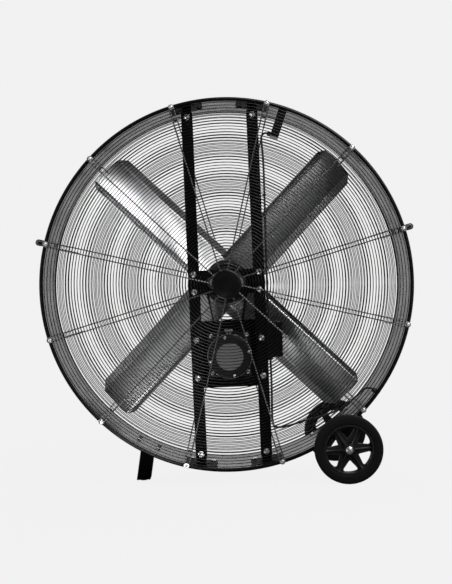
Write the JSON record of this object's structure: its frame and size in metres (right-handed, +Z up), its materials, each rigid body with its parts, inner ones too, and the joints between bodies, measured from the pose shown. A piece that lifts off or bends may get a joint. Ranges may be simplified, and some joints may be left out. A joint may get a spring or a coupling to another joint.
{
  "type": "drum fan",
  "caption": "Belt-drive drum fan: round wire guards on a rolled drum, paddle blades, motor slung between two struts, wheels and a leg.",
  "frame": {"origin": "on the floor, below the middle of the drum", "axes": "+Z up; +Y along the fan's axis from the intake and motor side to the outlet; +X to the right seen from the intake, towards the wheels"},
  "size_m": [1.181, 0.5268, 1.1749],
  "materials": {
    "drum_paint": "satin black powder coat",
    "guard_wire": "satin black powder coat on wire",
    "zinc_steel": "bright zinc plate",
    "ground_steel": "ground steel, lightly oiled",
    "blade_metal": "satin pressed sheet",
    "spider_paint": "satin black with bare edges",
    "cast_iron": "cast and painted",
    "motor_paint": "semi-gloss black",
    "cover_paint": "grey satin",
    "belt_rubber": "matte moulded rubber",
    "rubber": "matte rubber",
    "tyre": "matte solid rubber",
    "wheel_plastic": "moulded black plastic",
    "knob_plastic": "moulded black plastic",
    "lead_jacket": "black flexible jacket"
  },
  "bodies": {
    "drum": {"drum_shell": "drum_paint", "intake_guard_rings": "guard_wire", "intake_guard_spokes": "guard_wire", "outlet_guard_rings": "guard_wire", "outlet_guard_spokes": "guard_wire", "guard_caps": "guard_wire", "guard_screws": "zinc_steel", "strut_left": "drum_paint", "strut_right": "drum_paint", "strut_shoes": "drum_paint", "strut_bolts": "zinc_steel", "wall_bolts": "zinc_steel", "bearing_bracket": "drum_paint", "front_bearing_housing": "cast_iron", "rear_bearing_housing": "cast_iron", "bearing_bolts": "zinc_steel", "motor_plate": "drum_paint", "motor_shell": "motor_paint", "motor_front_bell": "motor_paint", "motor_rear_bell": "motor_paint", "motor_end_cover": "cover_paint", "motor_clamp_band": "zinc_steel", "motor_stator": "cast_iron", "motor_through_bolts": "zinc_steel", "motor_mount_bolts": "zinc_steel", "drive_belt": "belt_rubber", "terminal_box": "drum_paint", "terminal_box_lid": "drum_paint", "switch_box": "drum_paint", "switch_box_lid": "drum_paint", "motor_lead": "lead_jacket", "supply_lead": "lead_jacket", "lead_glands": "lead_jacket", "cable_ties": "lead_jacket", "wheel_axle": "ground_steel", "axle_brackets": "drum_paint", "axle_washers": "zinc_steel", "axle_caps": "zinc_steel", "leg": "drum_paint", "leg_pad": "rubber", "handle_bars": "drum_paint", "handle_grips": "rubber"},
    "fan": {"bearing_inner_rings": "ground_steel", "fan_shaft": "ground_steel", "shaft_pulley": "cast_iron", "fan_spider": "spider_paint", "blade_1": "blade_metal", "blade_2": "blade_metal", "blade_3": "blade_metal", "blade_4": "blade_metal", "blade_rivets": "zinc_steel", "hub_bolt": "zinc_steel"},
    "motor_rotor": {"motor_rotor": "ground_steel", "motor_pulley": "cast_iron"},
    "near_wheel": {"near_wheel_centre": "wheel_plastic", "near_tyre": "tyre"},
    "far_wheel": {"far_wheel_centre": "wheel_plastic", "far_tyre": "tyre"},
    "switch_knob": {"switch_knob": "knob_plastic", "switch_spindle": "ground_steel"}
  },
  "joints": [
    {"name": "fan_spin", "type": "hinge", "parent": "drum", "child": "fan", "pos_m": [0, 0, 0.6125], "axis": [0, 1, 0], "continuous": true},
    {"name": "motor_spin", "type": "hinge", "parent": "drum", "child": "motor_rotor", "pos_m": [0, 0, 0.3845], "axis": [0, 1, 0], "continuous": true},
    {"name": "near_wheel_spin", "type": "hinge", "parent": "drum", "child": "near_wheel", "pos_m": [0.3405, -0.23, 0.1015], "axis": [0, 1, 0], "continuous": true},
    {"name": "far_wheel_spin", "type": "hinge", "parent": "drum", "child": "far_wheel", "pos_m": [0.3405, 0.23, 0.1015], "axis": [0, 1, 0], "continuous": true},
    {"name": "switch_turn", "type": "hinge", "parent": "drum", "child": "switch_knob", "pos_m": [0.19671, -0.09, 1.13678], "axis": [0.3469, 0, 0.9379], "range_deg": [0, 90]}
  ],
  "couplings": [
    {"joint": "motor_spin", "follows": "fan_spin", "ratio": 2.4444}
  ]
}
